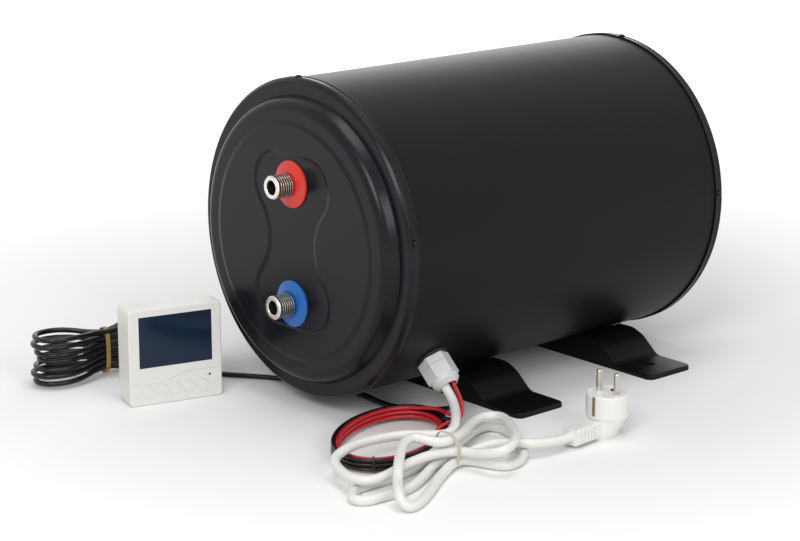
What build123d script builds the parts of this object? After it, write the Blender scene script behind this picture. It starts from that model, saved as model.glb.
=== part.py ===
from build123d import *
import math
import os

# Electric water heater for a caravan, lying on two feet, with its panel, cords and plug.
# Millimetres. The origin is the centre of the four foot holes, on the floor. The heater's
# axis runs along Y with the front towards -Y, and +Z is up.

# Shell: a rolled steel tube between the seams of two pressed covers
shell_radius = 141.6
shell_sheet = 1.0
floor_clearance = 12.4
axis_height = shell_radius + floor_clearance
front_seam = 222.2
rear_seam = 150.2
shell_lap = 6.4

# Covers: a skirt over the shell, a flat ring and a raised middle
cover_sheet = 1.0
cover_fit = 0.05
skirt_length = 8.5
skirt_edge_radius = 1.6
ring_setback = 1.8
ring_radius = shell_radius - ring_setback
ring_depth = 11.2
ring_width = 11.3
ring_inner_radius = ring_radius - ring_width
crease_radius = 0.8
wall_lean = 5.4
shoulder_radius = 9.4
raised_depth = 23.2
disc_setback = 25.2
disc_radius = ring_inner_radius - disc_setback
disc_rise = 1.0
disc_slope = 4.0
disc_edge_radius = 3.0
rear_raised_depth = 17.0
bead_radius = 0.6
edge_bead_radius = 0.4

# Hourglass recess in the front cover, with its side's soft step as pairs of inset and depth
recess_half_width = 52.5
recess_half_height = 79.75
recess_depth = 1.3
recess_waist_half_width = 33.0
recess_bulge_radius = 30.0
recess_waist_radius = 42.0
recess_step = ((0, 0), (1.1, 0.22), (2.9, 1.08), (4.0, recess_depth))

# Cover screws
screw_radius = 1.5
screw_hole_radius = 1.6
screw_head_radius = 3.0
screw_head_height = 2.0
screw_length = 6.0
screw_setback = 4.3
front_screw_angle = 9.0
rear_screw_angle = 3.5
front_screw_step = 86.0
rear_screw_step = 81.5

# Water stubs and their coloured collars
stub_radius = 10.4775
stub_bore_radius = 6.35
stub_neck_radius = 9.0
stub_end = 268.3
stub_thread_length = 14.3
stub_tip_chamfer = 1.0
hot_height = 52.0
cold_height = -55.5
weld_gap = 0.05
collar_radius = 20.8
collar_rim = 1.8
collar_cone_radius = 12.2
collar_cone_height = 4.4
collar_height = 5.0
collar_sleeve_radius = 11.6
collar_sleeve_length = 4.0
collar_fit = 0.1

# Tank and insulation
tank_radius = 110.0
tank_wall = 1.5
tank_front = 140.0
tank_rear = 125.0
head_skirt = 30.0
head_corner_radius = 22.0
insulation_gap = 0.3
insulation_thickness = 22.0
insulation_hole_gap = 0.6
pipe_radius = 7.0
pipe_wall = 1.5
pickup_reach = 66.0
pickup_top = 98.0
inlet_reach = 52.0
inlet_bottom = -97.0
pipe_bend_radius = 16.0

# Heating elements
element_x = -50.0
mains_element_height = 32.0
low_element_height = -32.0
boss_radius = 24.0
boss_length = 6.0
element_thread_radius = 17.4
gasket_thickness = 2.0
element_hex_radius = 26.5
element_hex_length = 9.0
sheath_radius = 4.0
sheath_spacing = 20.0
mains_element_reach = 200.0
low_element_reach = 150.0
sheath_turn_radius = 9.5
tab_width = 6.3
tab_thickness = 0.8
tab_length = 10.0
tab_spacing = 9.0

# Thermostat and sensor
thermostat_place = (45.0, 66.0)
thermostat_radius = 11.0
thermostat_length = 14.0
thermostat_flange_radius = 13.0
thermostat_flange_length = 2.0
thermostat_knob_radius = 3.0
thermostat_knob_length = 4.0
sensor_place = (45.0, -66.0)
sensor_radius = 3.5
sensor_length = 30.0

# Electronics behind the front cover
tray_left = 30.0
tray_right = 118.0
tray_half_height = 42.0
tray_floor = 2.0
tray_rim = 8.0
post_radius = 3.0
post_height = 5.0
post_inset = 8.0
board_inset = 3.0
board_thickness = 1.6
relay_size = (15.0, 19.0, 15.0)
relay_places = ((40.0, 22.0), (58.0, 22.0), (76.0, 22.0))
coil_box_size = (30.0, 26.0, 22.0)
coil_box_place = (94.0, -20.0)
terminal_size = (40.0, 10.0, 12.0)
terminal_place = (56.0, -28.0)
chip_size = (12.0, 12.0, 1.5)
chip_place = (56.0, -5.0)

# Cable gland on the lower right of the shell
gland_angle = -42.5
gland_setback = 175.0
gasket_radius = 14.6
gasket_top = 2.2
gland_hex_radius = 14.9
gland_hex_top = 9.2
gland_neck_radius = 9.4
gland_neck_top = 20.0
gland_shank_radius = 8.0
gland_shank_length = 16.0
gland_bore_radius = 6.8
gland_hole_gap = 0.1
nut_bottom = 9.5
nut_hex_top = 22.5
nut_dome_radius = 13.0
nut_dome_top = 26.5
nut_dome_top_radius = 12.4
nut_top = 30.0
nut_top_radius = 8.9
nut_bore_radius = 9.5
nut_step = 20.3
nut_mouth_radius = 7.9
seal_radius = 7.8
seal_bottom = 20.4
seal_top = 28.0
gland_turn = 31.8
locknut_radius = 12.0
locknut_length = 5.0
locknut_seat = 2.4

# Feet
foot_place = 85.0
foot_width = 57.0
foot_overhang = 10.4
foot_half_length = shell_radius + foot_overhang
foot_gap = 0.3
wing_length = 43.0
wing_thickness = 4.6
knee_run = 19.0
knee_height = 20.5
peak_run = 13.0
peak_height = 25.2
heel_x = foot_half_length - wing_length
knee_x = heel_x - knee_run
peak_x = knee_x - peak_run
peak_radius = 14.0
knee_radius = 26.0
heel_radius = 12.0
foot_wall = 4.0
foot_edge_radius = 1.6
foot_corner_radius = 7.0
hole_setback = 27.0
hole_x = foot_half_length - hole_setback
foot_hole_radius = 5.0
rib_places = (0.0, 38.0, 76.0)
rib_thickness = 3.0
cavity_margin = 6.0
cavity_half_length = heel_x - cavity_margin
foot_screw_angle = 18.5
foot_screw_offset = 14.0
foot_screw_radius = 2.0
foot_screw_head_radius = 4.0
foot_screw_head_height = 2.4

# Control panel, standing on the floor
panel_corner = (-99.4, -352.6)
panel_yaw = 75.4
panel_width = 88.5
panel_height = 89.5
panel_depth = 28.0
panel_split = 20.0
panel_corner_radius = 4.0
panel_edge_radius = 1.5
panel_wall = 2.2
window_left = 9.5
window_right = 79.0
window_bottom = 34.9
window_top = 82.3
window_pocket = 1.0
window_thickness = 0.95
window_fit = 0.1
window_ledge = 2.0
display_margin = 1.5
display_thickness = 4.0
panel_board_margin = 4.0
panel_post_radius = 1.8
panel_post_inset = 5.9
button_left = 17.3
button_pitch = 13.0
button_count = 5
button_height = 12.6
button_radius = 5.35
button_fit = 0.12
button_proud = 0.7
button_crown = 0.3
button_flange_radius = 6.3
button_flange_gap = 0.1
button_flange_thickness = 0.8
switch_size = 6.0
switch_gap = 1.0
sensor_hole_place = (76.4, 21.3)
sensor_hole_radius = 1.25
seam_width = 0.5
seam_depth = 0.4
seam_width_shares = (0, 0.16, 0.32, 0.45, 0.6, 0.76, 1)
seam_height_shares = (0.229, 0.218, 0.221, 0.252, 0.296, 0.307, 0.291)
inlet_place = (44.0, 64.0)
inlet_ring_radius = 4.6
inlet_ring_length = 3.0

# Plug, lying on its side with the pins up
plug_place = (230.5, -85.4)
plug_yaw = 4.5
plug_radius = 18.6
plug_face_height = 39.0
plug_neck_height = 19.0
plug_edge_radius = 1.2
plug_face_recess = 0.6
plug_rim = 1.4
plug_neck_radius = 17.2
plug_base_half_width = 9.0
plug_base_half_length = 15.0
plug_base_shift = 4.0
plug_arm_width = 15.0
plug_arm_top = 17.5
plug_arm_bottom = 3.0
plug_arm_end = 48.5
plug_arm_radius = 2.0
groove_count = 5
groove_width = 1.8
groove_depth = 1.0
groove_pitch = 4.4
groove_margin = 5.0
pin_radius = 2.4
pin_length = 19.0
pin_spacing = 19.0
earth_hole_place = 9.5
earth_hole_radius = 3.2
earth_hole_depth = 12.0
clip_width = 3.2
clip_length = 17.0
clip_thickness = 1.0
clip_slot_gap = 0.05

# Cords
mains_diameter = 8.4
wire_diameter = 3.4
control_diameter = 4.9
core_radius = 1.2
core_length = 7.0
run_share = 0.45
same_cord_share = 2.5
sample_step = 2.0
same_way = 1e-9
mouth_clear = 14.0
wire_clear = 10.0
control_clear = 9.0
mains_seat = (-3.2, -0.6)
red_seat = (2.2, 4.6)
black_seat = (3.4, 0.7)
control_seat = (3.1, -4.0)

# Wire coils: ovals on the floor that climb one wire a turn, the red one inside the black one
coil_centre = (130.0, -245.0)
coil_yaw = 118.0
coil_long = 71.0
coil_short = 44.0
coil_floor = 2.7
coil_rise = 3.9
coil_steps = 24
red_start = 262.0
red_turns = 2.7
red_entry = 6.5
black_start = 285.0
black_turns = 2.905
black_entry = 9.5
wire_pitch = 4.2
tie_turn = 0.25
tie_gap = 0.3
strip_thickness = 0.6
strip_width = 2.4

# The control cord's hank: long loops that climb, drawn in at the waist by a rubber band
hank_centre = (-194.8, -322.0)
hank_yaw = 80.0
hank_half_length = 70.0
hank_half_width = 19.0
hank_waist = 5.8
hank_bulge_share = 0.62
hank_middle = 25.7
hank_end_rise = 6.8
hank_waist_rise = 5.5
hank_eighths = 54
band_shift = 1.0
band_width = 4.0
band_thickness = 0.8

# The wire tie of the mains hank
tie_centre = (199.5, -243.0, 15.3)
tie_half_width = 13.9
tie_half_height = 14.8
tie_corner = 5.0
tie_radius = 0.5

overrun = 2.0
print_gap = 0.4


def turned(profile):
    """A body of revolution about Z, from points of radius and height."""
    return revolve(Plane.XZ * make_face(Polyline(*profile, close=True)), axis=Axis.Z)


def tube(outer, inner, bottom, top):
    return turned([(inner, bottom), (outer, bottom), (outer, top), (inner, top)])


def rod(radius, bottom, top, place=(0, 0)):
    return Pos(place[0], place[1], (bottom + top) / 2) * Cylinder(radius, top - bottom)


def block(left, right, low, high, bottom, top):
    size = Box(right - left, high - low, top - bottom)
    return Pos((left + right) / 2, (low + high) / 2, (bottom + top) / 2) * size


def hexagon(radius, bottom, top, place=(0, 0), turn=0.0):
    flat = RegularPolygon(radius, side_count=6, rotation=turn)
    return Pos(place[0], place[1], bottom) * extrude(flat, top - bottom)


def put_together(pieces):
    """Separate solids kept as one node."""
    solids = [solid for piece in pieces for solid in piece.solids()]
    return Compound(children=solids)


# The heater's own frame: local Z is the distance forward of the feet's middle, local Y is up
heater = Plane(origin=(0, 0, axis_height), x_dir=(1, 0, 0), z_dir=(0, -1, 0))
front = Plane(origin=(0, -front_seam, axis_height), x_dir=(1, 0, 0), z_dir=(0, -1, 0))
rear = Plane(origin=(0, rear_seam, axis_height), x_dir=(-1, 0, 0), z_dir=(0, 1, 0))


def on_shell(angle, forward, radius=shell_radius):
    """A frame on the shell: its Z points outwards, its X backwards."""
    turn = math.radians(angle)
    out = (math.cos(turn), math.sin(turn), 0)
    return Plane(origin=(radius * out[0], radius * out[1], forward), x_dir=(0, 0, -1), z_dir=out)


cover_height = front_seam + screw_setback
screw_places = [(front_screw_angle, cover_height), (front_screw_angle + front_screw_step, cover_height)]
screw_places += [(angle + 180, forward) for angle, forward in screw_places]
rear_places = [(rear_screw_angle, -rear_seam - screw_setback)]
rear_places += [(rear_screw_angle + rear_screw_step, -rear_seam - screw_setback)]
rear_places += [(angle + 180, forward) for angle, forward in rear_places]
skirt_radius = shell_radius + cover_fit + cover_sheet


def screw_holes():
    """Radial holes for the cover screws, in the heater's frame."""
    depth = screw_length + overrun
    seat = cover_fit + cover_sheet
    cut = Cylinder(screw_hole_radius, 2 * depth)
    cut += rod(screw_head_radius + cover_fit, seat, seat + screw_head_height)
    return [on_shell(angle, forward) * cut for angle, forward in screw_places + rear_places]


def foot_screw_frames():
    """Frames of the foot screws on the shell, in the heater's frame."""
    frames = []
    for place in (-foot_place, foot_place):
        for angle in (-90 - foot_screw_angle, -90 + foot_screw_angle):
            for offset in (-foot_screw_offset, foot_screw_offset):
                frames.append(on_shell(angle, place + offset))
    return frames


# Shell and covers


def outer_shell():
    inner = shell_radius - shell_sheet
    body = tube(shell_radius, inner, -rear_seam - shell_lap, front_seam + shell_lap)
    for hole in screw_holes():
        body -= hole
    gland_hole = Cylinder(gland_shank_radius + gland_hole_gap, 2 * locknut_seat + overrun)
    body -= on_shell(gland_angle, gland_setback) * gland_hole
    for frame in foot_screw_frames():
        body -= frame * Cylinder(foot_screw_radius + cover_fit, 2 * overrun)
    return heater * body


def cover_body(depth, has_disc, inset):
    """The solid inside a cover's skin, moved in by inset. Local Z runs out of the seam."""
    skirt = skirt_radius - inset
    ring = ring_depth - inset
    top = depth - inset
    points = [(skirt, -overrun * bool(inset)), (skirt, skirt_length - inset), (ring_radius - inset, ring)]
    lean = wall_lean * (depth - ring_depth) / (raised_depth - ring_depth)
    wall_top = ring_inner_radius - lean - inset
    points += [(ring_inner_radius - inset, ring), (wall_top, top)]
    radii = [skirt_edge_radius - inset, skirt_edge_radius - inset]
    share = (depth - ring_depth) / (raised_depth - ring_depth)
    radii += [crease_radius + inset, (shoulder_radius - inset) * share]
    if has_disc:
        points += [(disc_radius + disc_slope - inset, top), (disc_radius - inset, top + disc_rise)]
        radii += [disc_edge_radius + inset, disc_edge_radius - inset]
        top += disc_rise
    points.append((0, top))
    line = FilletPolyline(*points, radius=radii)
    closing = Polyline((0, top), (0, points[0][1]), points[0])
    return revolve(Plane.XZ * make_face([line, closing]), axis=Axis.Z)


disc_top = raised_depth + disc_rise
recess_floor = disc_top - recess_depth


def recess_face(inset, depth):
    """The right half of the hourglass, drawn in by inset, at a depth under the disc."""
    across = recess_waist_half_width + recess_waist_radius - recess_half_width + recess_bulge_radius
    down = recess_half_height - recess_bulge_radius
    # The side is a straight line that touches the bulge's and the waist's circles
    lean = math.asin((recess_bulge_radius + recess_waist_radius) / math.hypot(across, down))
    way = math.atan2(-down, across) - lean
    out_x, out_y = -math.sin(way), math.cos(way)
    reach = out_x * (recess_half_width - recess_bulge_radius) + out_y * down + recess_bulge_radius - inset
    high = recess_half_height - inset
    shoulder = (reach - out_y * high) / out_x
    corners = [(0, high), (shoulder, high), (reach / out_x, 0), (shoulder, -high), (0, -high)]
    bulge, waist = recess_bulge_radius - inset, recess_waist_radius + inset
    line = FilletPolyline(*corners, radius=[bulge, waist, bulge])
    return Pos(0, 0, disc_top - depth) * make_face([line, Polyline((0, high), (0, -high))])


def recess():
    """The pressed recess with its soft sides, open towards the front."""
    faces = [recess_face(inset, depth) for inset, depth in recess_step]
    half = extrude(faces[0], overrun)
    for upper, lower in zip(faces, faces[1:]):
        half += loft([lower, upper], ruled=True)
    return half + mirror(half, about=Plane.YZ)


def skirt_beads():
    seam = Pos(0, 0, bead_radius) * Torus(skirt_radius, bead_radius)
    edge = Pos(0, 0, skirt_length - skirt_edge_radius) * Torus(skirt_radius, edge_bead_radius)
    return seam + edge


def front_cover():
    hollow = cover_body(raised_depth, True, cover_sheet) - Pos(0, 0, -cover_sheet) * recess()
    body = cover_body(raised_depth, True, 0) + skirt_beads() - recess() - hollow
    for height in (hot_height, cold_height):
        hole = collar_sleeve_radius + collar_fit
        body -= rod(hole, recess_floor - 2 * overrun, disc_top + overrun, (0, height))
    body = front * body
    for hole in screw_holes():
        body -= heater * hole
    return body


def rear_cover():
    hollow = cover_body(rear_raised_depth, False, cover_sheet)
    body = rear * (cover_body(rear_raised_depth, False, 0) + skirt_beads() - hollow)
    for hole in screw_holes():
        body -= heater * hole
    return body


def cover_screws():
    seat = cover_fit + cover_sheet
    profile = [(0, seat - screw_length), (screw_radius, seat - screw_length), (screw_radius, seat),
               (screw_head_radius, seat), (screw_head_radius, seat + screw_head_height / 2),
               (screw_head_radius / 2, seat + screw_head_height), (0, seat + screw_head_height)]
    screw = turned(profile)
    return heater * put_together([on_shell(*place) * screw for place in screw_places + rear_places])


# Tank, insulation and water pipes


def tank_body():
    inner = tank_radius - tank_wall
    return heater * tube(tank_radius, inner, head_skirt - tank_rear, tank_front - head_skirt)


def head(length, inset):
    """A pressed tank head with its open side at local Z zero."""
    radius = tank_radius - inset
    points = [(radius, -overrun * bool(inset)), (radius, length - inset), (0, length - inset)]
    line = FilletPolyline(*points, radius=[head_corner_radius - inset])
    closing = Polyline(points[-1], (0, points[0][1]), points[0])
    return revolve(Plane.XZ * make_face([line, closing]), axis=Axis.Z)


def head_cup():
    return head(head_skirt, 0) - head(head_skirt, tank_wall)


def tank_head_rear():
    return heater * Pos(0, 0, head_skirt - tank_rear) * Rot(180, 0, 0) * head_cup()


def tank_head_front():
    front_head = Pos(0, 0, tank_front - head_skirt) * head_cup()
    inside = tank_front - tank_wall - overrun
    for height in (mains_element_height, low_element_height):
        place = (element_x, height)
        front_head += rod(boss_radius, tank_front - tank_wall, tank_front + boss_length, place)
        hole = element_thread_radius + weld_gap
        front_head -= rod(hole, inside, tank_front + boss_length + overrun, place)
    for height in (hot_height, cold_height):
        front_head -= rod(stub_radius + weld_gap, inside, tank_front + overrun, (0, height))
    return heater * front_head


insulation_radius = shell_radius - shell_sheet - insulation_gap
insulation_front_face = tank_front + insulation_gap + insulation_thickness


def insulation_sleeve():
    inner = tank_radius + insulation_gap
    return heater * tube(insulation_radius, inner, -tank_rear, tank_front)


def insulation_front():
    back = tank_front + insulation_gap
    disc = tube(insulation_radius, 0, back, insulation_front_face)
    heights = (mains_element_height, low_element_height)
    cuts = [((element_x, height), element_hex_radius) for height in heights]
    cuts += [((0, hot_height), stub_radius), ((0, cold_height), stub_radius)]
    cuts += [(thermostat_place, thermostat_flange_radius), (sensor_place, sensor_radius)]
    for place, radius in cuts:
        disc -= rod(radius + insulation_hole_gap, back - overrun, insulation_front_face + overrun, place)
    return heater * disc


def insulation_rear():
    front_side = -tank_rear - insulation_gap
    return heater * tube(insulation_radius, 0, front_side - insulation_thickness, front_side)


def water_stub(height):
    inside = tank_front - tank_wall
    thread_back = stub_end - stub_thread_length
    tip = stub_radius - stub_tip_chamfer
    head_end = tank_front + boss_length
    profile = [(stub_bore_radius, inside), (stub_radius, inside), (stub_radius, head_end),
               (stub_neck_radius, head_end), (stub_neck_radius, thread_back), (stub_radius, thread_back),
               (stub_radius, stub_end - stub_tip_chamfer), (tip, stub_end), (stub_bore_radius, stub_end)]
    return heater * Pos(0, height, 0) * turned(profile)


def collar(height):
    inner = stub_neck_radius + collar_fit
    profile = [(inner, -collar_sleeve_length), (collar_sleeve_radius, -collar_sleeve_length),
               (collar_sleeve_radius, 0), (collar_radius, 0), (collar_radius, collar_rim),
               (collar_cone_radius, collar_cone_height), (collar_cone_radius, collar_height),
               (inner, collar_height)]
    return front * Pos(0, height, recess_floor) * turned(profile)


def bent_pipe(points):
    """A water pipe through points of height and forward place, in the middle plane."""
    line = FilletPolyline(*[(0, y, z) for y, z in points], radius=pipe_bend_radius)
    start = Plane(origin=line @ 0, z_dir=line % 0)
    outer = sweep(start * Circle(pipe_radius), path=line)
    inner = sweep(start * Circle(pipe_radius - pipe_wall), path=line)
    return heater * (outer - inner)


def hot_pickup_pipe():
    start = tank_front - tank_wall
    end = start - pickup_reach
    return bent_pipe([(hot_height, start), (hot_height, end), (pickup_top, end)])


def cold_inlet_pipe():
    start = tank_front - tank_wall
    end = start - inlet_reach
    return bent_pipe([(cold_height, start), (cold_height, end), (inlet_bottom, end)])


# Heating elements and sensors


def element(height, reach):
    place = (element_x, height)
    seat = tank_front + boss_length + gasket_thickness
    inside = tank_front - tank_wall
    body = hexagon(element_hex_radius, seat, seat + element_hex_length, place)
    body += rod(element_thread_radius, inside, seat, place)
    half = sheath_spacing / 2
    turn = [(half, 0, inside), (half, 0, inside - reach), (-half, 0, inside - reach), (-half, 0, inside)]
    line = FilletPolyline(*turn, radius=sheath_turn_radius)
    sheath = sweep(Plane(origin=line @ 0, z_dir=line % 0) * Circle(sheath_radius), path=line)
    body += Pos(place[0], place[1], 0) * sheath
    for side in (-1, 1):
        x = element_x + side * tab_spacing
        top = seat + element_hex_length
        body += block(x - tab_thickness / 2, x + tab_thickness / 2, height - tab_width / 2,
                      height + tab_width / 2, top, top + tab_length)
    return heater * body


def element_gaskets():
    ring = tube(boss_radius, element_thread_radius + weld_gap, 0, gasket_thickness)
    seat = tank_front + boss_length
    places = [Pos(element_x, height, seat) * ring for height in (mains_element_height, low_element_height)]
    return heater * put_together(places)


def safety_thermostat():
    body = rod(thermostat_flange_radius, tank_front, tank_front + thermostat_flange_length, thermostat_place)
    top = tank_front + thermostat_length
    body += rod(thermostat_radius, tank_front, top, thermostat_place)
    body += rod(thermostat_knob_radius, top, top + thermostat_knob_length, thermostat_place)
    for side in (-1, 1):
        x = thermostat_place[0] + side * (thermostat_radius - tab_thickness)
        body += block(x - tab_thickness / 2, x + tab_thickness / 2, thermostat_place[1] - tab_width / 2,
                      thermostat_place[1] + tab_width / 2, top - overrun, top + tab_length)
    return heater * body


def temperature_sensor():
    return heater * rod(sensor_radius, tank_front, tank_front + sensor_length, sensor_place)


# Electronics


tray_face = insulation_front_face + tray_floor
board_back = tray_face + post_height
board_face = board_back + board_thickness


def board_tray():
    high = tray_half_height
    body = block(tray_left, tray_right, -high, high, insulation_front_face, insulation_front_face + tray_rim)
    body -= block(tray_left + tray_floor, tray_right - tray_floor, tray_floor - high, high - tray_floor,
                  tray_face, insulation_front_face + tray_rim + overrun)
    for x in (tray_left + post_inset, tray_right - post_inset):
        for y in (post_inset - high, high - post_inset):
            body += rod(post_radius, tray_face, board_back, (x, y))
    return heater * body


def control_board():
    inset = board_inset
    return heater * block(tray_left + inset, tray_right - inset, inset - tray_half_height,
                          tray_half_height - inset, board_back, board_face)


def board_components():
    pieces = []
    shapes = [(relay_size, place) for place in relay_places]
    shapes += [(coil_box_size, coil_box_place), (terminal_size, terminal_place), (chip_size, chip_place)]
    for size, place in shapes:
        half = (size[0] / 2, size[1] / 2)
        pieces.append(block(place[0] - half[0], place[0] + half[0], place[1] - half[1],
                            place[1] + half[1], board_face, board_face + size[2]))
    return heater * put_together(pieces)


# Cable gland


gland = on_shell(gland_angle, gland_setback)


def gland_gasket():
    disc = tube(gasket_radius, gland_shank_radius + gland_hole_gap, -overrun, gasket_top)
    shell = Cylinder(shell_radius, 2 * front_seam)
    return heater * (gland * disc - shell)


def gland_body():
    body = hexagon(gland_hex_radius, gasket_top, gland_hex_top, turn=gland_turn)
    body += rod(gland_neck_radius, gasket_top, gland_neck_top)
    body += rod(gland_shank_radius, -gland_shank_length, gasket_top)
    body -= rod(gland_bore_radius, -gland_shank_length - overrun, gland_neck_top + overrun)
    return heater * gland * body


def gland_nut():
    body = hexagon(gland_hex_radius, nut_bottom, nut_hex_top, turn=gland_turn)
    dome = [(0, nut_hex_top), (nut_dome_radius, nut_hex_top), (nut_dome_top_radius, nut_dome_top),
            (nut_top_radius, nut_top), (0, nut_top)]
    body += turned(dome)
    body -= rod(nut_bore_radius, nut_bottom - overrun, nut_step)
    body -= rod(nut_mouth_radius, nut_step - overrun, nut_top + overrun)
    return heater * gland * body


def gland_seal():
    return heater * gland * rod(seal_radius, seal_bottom, seal_top)


def gland_locknut():
    body = hexagon(locknut_radius, -locknut_seat - locknut_length, -locknut_seat)
    body -= rod(gland_shank_radius + weld_gap, -locknut_seat - locknut_length - overrun, overrun)
    return heater * gland * body


# Feet


def foot_profile(inset):
    """The foot's section along X, moved in by inset, from the floor up to the saddle."""
    top = peak_height - inset
    right = [(foot_half_length, wing_thickness), (heel_x - inset, wing_thickness - inset),
             (knee_x - inset, knee_height - inset), (peak_x - inset, top), (0, top)]
    radii = [heel_radius + inset, knee_radius - inset, peak_radius - inset]
    end = (foot_half_length, 0)
    if inset:
        end = right[0] = (cavity_half_length, -overrun)
        del right[1], radii[0]
    line = FilletPolyline(*right, radius=radii)
    closing = [(0, top), (0, end[1]), end] + ([] if inset else [right[0]])
    half = make_face([line, Polyline(*closing)])
    return half + mirror(half, about=Plane.YZ)


def foot_block(place):
    """The foot's outer form, with rounded corners in plan and a rounded upper edge."""
    section = Plane(origin=(0, place + foot_width / 2, 0), x_dir=(1, 0, 0), z_dir=(0, -1, 0))
    corners = RectangleRounded(2 * foot_half_length, foot_width, foot_corner_radius)
    body = extrude(section * foot_profile(0), foot_width)
    body &= Pos(0, place, 0) * extrude(corners, 2 * peak_height)
    around = [edge for edge in body.edges() if (edge @ 0.5).Z > wing_thickness / 2
              and edge.bounding_box().size.Y < foot_width - 2 * foot_corner_radius + overrun
              and abs((edge % 0.5).Z) < 0.99]
    crease = [edge for edge in around if edge.bounding_box().size.Y > foot_corner_radius + overrun
              and abs((edge @ 0.5).X) < foot_half_length - overrun]
    return fillet([edge for edge in around if edge not in crease], foot_edge_radius)


def foot(place):
    body = foot_block(place)
    inner = Plane(origin=(0, place + foot_width / 2 - foot_wall, 0), x_dir=(1, 0, 0), z_dir=(0, -1, 0))
    hollow = extrude(inner * foot_profile(foot_wall), foot_width - 2 * foot_wall)
    saddle = heater * Cylinder(shell_radius + foot_gap + foot_wall, 2 * front_seam)
    hollow -= saddle
    for x in sorted({side * rib for rib in rib_places for side in (-1, 1)}):
        half = rib_thickness / 2
        low, high = place - foot_width, place + foot_width
        hollow -= block(x - half, x + half, low, high, -2 * overrun, axis_height)
    low, high = place - rib_thickness / 2, place + rib_thickness / 2
    hollow -= block(-foot_half_length, foot_half_length, low, high, -2 * overrun, axis_height)
    body -= hollow
    body -= heater * Cylinder(shell_radius + foot_gap, 2 * front_seam)
    for x in (-hole_x, hole_x):
        body -= rod(foot_hole_radius, -overrun, wing_thickness + overrun, (x, place))
    for frame in foot_screw_frames():
        body -= heater * frame * rod(foot_screw_radius + cover_fit, -overrun, foot_wall + overrun)
    return body


def foot_screws():
    seat = foot_gap + foot_wall
    profile = [(0, -shell_sheet), (foot_screw_radius, -shell_sheet), (foot_screw_radius, seat),
               (foot_screw_head_radius, seat), (foot_screw_head_radius, seat + foot_screw_head_height),
               (0, seat + foot_screw_head_height)]
    screw = turned(profile)
    return heater * put_together([frame * screw for frame in foot_screw_frames()])


# Control panel: local X along its width, Y up and Z out of its face


panel_turn = math.radians(panel_yaw)
panel = Plane(origin=(panel_corner[0], panel_corner[1], 0),
              x_dir=(math.cos(panel_turn), math.sin(panel_turn), 0),
              z_dir=(math.sin(panel_turn), -math.cos(panel_turn), 0))
board_front = -panel_wall - display_thickness
button_places = [(button_left + button_pitch * i, button_height) for i in range(button_count)]


def panel_box(inset, back, front_side):
    radius = panel_corner_radius - inset / 2
    flat = RectangleRounded(panel_width - 2 * inset, panel_height - 2 * inset, radius)
    return Pos(panel_width / 2, panel_height / 2, back) * extrude(flat, front_side - back)


def seam_groove():
    """The shallow S-curve across the face, between window and buttons."""
    lower = []
    for x, y in zip(seam_width_shares, seam_height_shares):
        lower.append((panel_width * x, panel_height * y))
    upper = [(x, y + seam_width) for x, y in reversed(lower)]
    sides = [Line(lower[-1], upper[0]), Line(upper[-1], lower[0])]
    face = make_face([Spline(*lower), Spline(*upper)] + sides)
    return Pos(0, 0, -seam_depth) * extrude(face, seam_depth + overrun)


def panel_housing():
    body = panel_box(0, -panel_split, 0)
    body = fillet(body.faces().sort_by(Axis.Z)[-1].edges(), panel_edge_radius)
    body -= panel_box(panel_wall, -panel_split - overrun, -panel_wall)
    body -= seam_groove()
    body -= block(window_left, window_right, window_bottom, window_top, -window_pocket, overrun)
    ledge = window_ledge
    body -= block(window_left + ledge, window_right - ledge, window_bottom + ledge, window_top - ledge,
                  -2 * panel_wall, overrun)
    for place in button_places:
        body -= rod(button_radius + button_fit, -2 * panel_wall, overrun, place)
    body -= rod(sensor_hole_radius, -2 * panel_wall, overrun, sensor_hole_place)
    for x in (panel_post_inset, panel_width - panel_post_inset):
        for y in (panel_height / 2, panel_height - panel_post_inset):
            body += rod(panel_post_radius, board_front, -panel_wall, (x, y))
    return panel * body


def panel_back():
    body = panel_box(0, -panel_depth, -panel_split)
    body -= panel_box(panel_wall, panel_wall - panel_depth, overrun - panel_split)
    ring = inlet_ring_radius
    back = -panel_depth
    body += rod(ring, back - inlet_ring_length, back, inlet_place)
    body -= rod(control_diameter / 2 + window_fit, back - inlet_ring_length - overrun, back, inlet_place)
    return panel * body


def panel_window():
    fit = window_fit
    bottom = -window_pocket
    return panel * block(window_left + fit, window_right - fit, window_bottom + fit, window_top - fit,
                         bottom, bottom + window_thickness)


def panel_display():
    margin = display_margin
    return panel * block(window_left - margin, window_right + margin, window_bottom - margin,
                         window_top + margin, board_front, -panel_wall)


def panel_board():
    margin = panel_board_margin
    body = block(margin, panel_width - margin, margin, panel_height - margin,
                 board_front - board_thickness, board_front)
    return panel * body


cap_bottom = -panel_wall - button_flange_gap - button_flange_thickness
switch_top = cap_bottom - switch_gap


def panel_switches():
    half = switch_size / 2
    pieces = []
    for x, y in button_places:
        pieces.append(block(x - half, x + half, y - half, y + half, board_front, switch_top))
    return panel * put_together(pieces)


def button(place):
    flange_top = cap_bottom + button_flange_thickness
    edge = button_proud - button_crown
    profile = [(0, cap_bottom), (button_flange_radius, cap_bottom), (button_flange_radius, flange_top),
               (button_radius, flange_top), (button_radius, edge),
               (button_radius - button_crown, button_proud), (0, button_proud)]
    return panel * Pos(place[0], place[1], 0) * turned(profile)


# Plug: local X along its two pins, -Y towards the cable


plug_turn = math.radians(plug_yaw)
plug = Plane(origin=(plug_place[0], plug_place[1], 0), x_dir=(math.cos(plug_turn), math.sin(plug_turn), 0),
             z_dir=(0, 0, 1))
cable_height = (plug_arm_top + plug_arm_bottom) / 2


def clip_box(side, gap):
    """One earth contact in the plug's side."""
    half = clip_width / 2 + gap
    near = side * (plug_radius - clip_thickness - gap)
    far = side * (plug_radius + gap)
    top = plug_face_height - plug_face_recess
    return block(-half, half, min(near, far), max(near, far), top - clip_length - gap, top + gap)


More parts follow.
